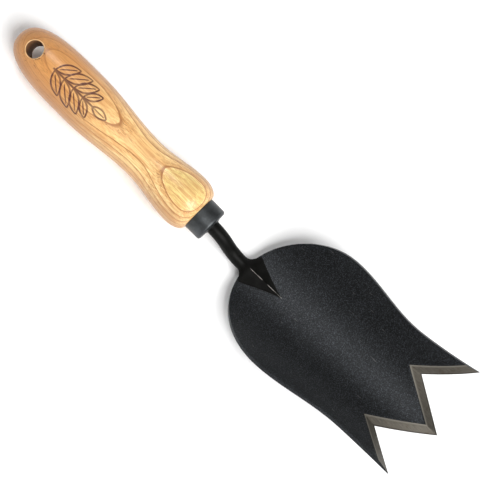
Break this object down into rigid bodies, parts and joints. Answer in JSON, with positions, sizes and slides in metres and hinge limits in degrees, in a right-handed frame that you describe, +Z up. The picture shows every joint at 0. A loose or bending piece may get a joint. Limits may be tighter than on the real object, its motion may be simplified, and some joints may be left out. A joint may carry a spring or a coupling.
{
  "type": "hand trowel",
  "caption": "Hand trowel with a dished, notched tulip blade on a cranked steel neck, set through a ferrule into a turned ash handle with a hanging hole.",
  "frame": {"origin": "middle of the tool's length and width, at its lowest point", "axes": "+Y along the handle from the butt to the blade's point, +Z up on the hollow side of the blade, +X across the blade"},
  "size_m": [0.0814, 0.313, 0.0525],
  "materials": {
    "ash": "varnished",
    "ferrule_steel": "satin gunmetal",
    "resin": "cast",
    "neck_black": "satin black",
    "weld_black": "satin black",
    "blade_black": "fine textured black with ground bare edges"
  },
  "bodies": {
    "root": {"handle": "ash", "ferrule": "ferrule_steel", "tang_resin": "resin", "neck": "neck_black", "neck_weld": "weld_black", "blade": "blade_black"}
  },
  "joints": []
}
